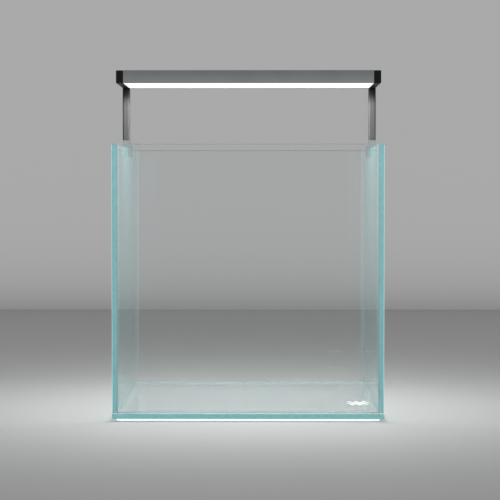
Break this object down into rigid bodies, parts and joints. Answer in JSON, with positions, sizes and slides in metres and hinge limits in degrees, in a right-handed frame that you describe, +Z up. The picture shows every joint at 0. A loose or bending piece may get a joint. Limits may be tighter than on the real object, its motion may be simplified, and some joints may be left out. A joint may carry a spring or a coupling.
{
  "type": "rimless aquarium tank",
  "caption": "Square rimless glass aquarium on a levelling mat, with a slim LED bar lamp standing on its side panes by two legs and clear clips.",
  "frame": {"origin": "centre of the levelling mat's underside, on the surface the tank stands on", "axes": "+Z up; front pane faces -Y; +X to the right seen from the front"},
  "size_m": [0.3066, 0.3, 0.3917],
  "materials": {
    "low_iron_glass": "polished low-iron float glass",
    "clear_silicone": "clear silicone sealant",
    "foam_mat": "white closed-cell foam",
    "grey_anodised": "grey anodised extrusion, satin",
    "satin_aluminium": "satin anodised flat bar",
    "black_anodised": "black anodised plate, satin",
    "opal_acrylic": "opal acrylic, lit from behind",
    "clear_acrylic": "clear cast acrylic, polished",
    "black_rubber": "soft rubber gasket",
    "circuit_board": "white solder mask on an aluminium core",
    "led_phosphor": "LED packages with a yellow phosphor window",
    "stainless_steel": "stainless steel",
    "socket_plastic": "moulded black plastic",
    "plated_brass": "nickel-plated nut",
    "red_insulation": "wire insulation",
    "black_insulation": "wire insulation"
  },
  "bodies": {
    "tank": {"levelling_mat": "foam_mat", "base_pane": "low_iron_glass", "front_pane": "low_iron_glass", "rear_pane": "low_iron_glass", "left_pane": "low_iron_glass", "right_pane": "low_iron_glass", "base_seam": "clear_silicone", "front_left_seam": "clear_silicone", "front_right_seam": "clear_silicone", "rear_left_seam": "clear_silicone", "rear_right_seam": "clear_silicone"},
    "clips": {"left_clip": "clear_acrylic", "right_clip": "clear_acrylic"},
    "lamp": {"lamp_housing": "grey_anodised", "diffuser_panel": "opal_acrylic", "diffuser_gasket": "black_rubber", "led_board_front": "circuit_board", "led_board_middle": "circuit_board", "led_board_rear": "circuit_board", "led_chips_front": "led_phosphor", "led_chips_middle": "led_phosphor", "led_chips_rear": "led_phosphor", "left_end_plate": "black_anodised", "right_end_plate": "black_anodised", "left_leg": "satin_aluminium", "right_leg": "satin_aluminium", "end_screws_left": "stainless_steel", "end_screws_right": "stainless_steel", "leg_screws": "stainless_steel", "power_socket": "socket_plastic", "socket_nut": "plated_brass", "positive_lead": "red_insulation", "negative_lead": "black_insulation"}
  },
  "joints": [
    {"name": "clips_along_rim", "type": "slide", "parent": "tank", "child": "clips", "axis": [0, 1, 0], "range_m": [-0.07, 0.1]},
    {"name": "lamp_lifts_off", "type": "slide", "parent": "clips", "child": "lamp", "axis": [0, 0, 1], "range_m": [0, 0.08]}
  ]
}
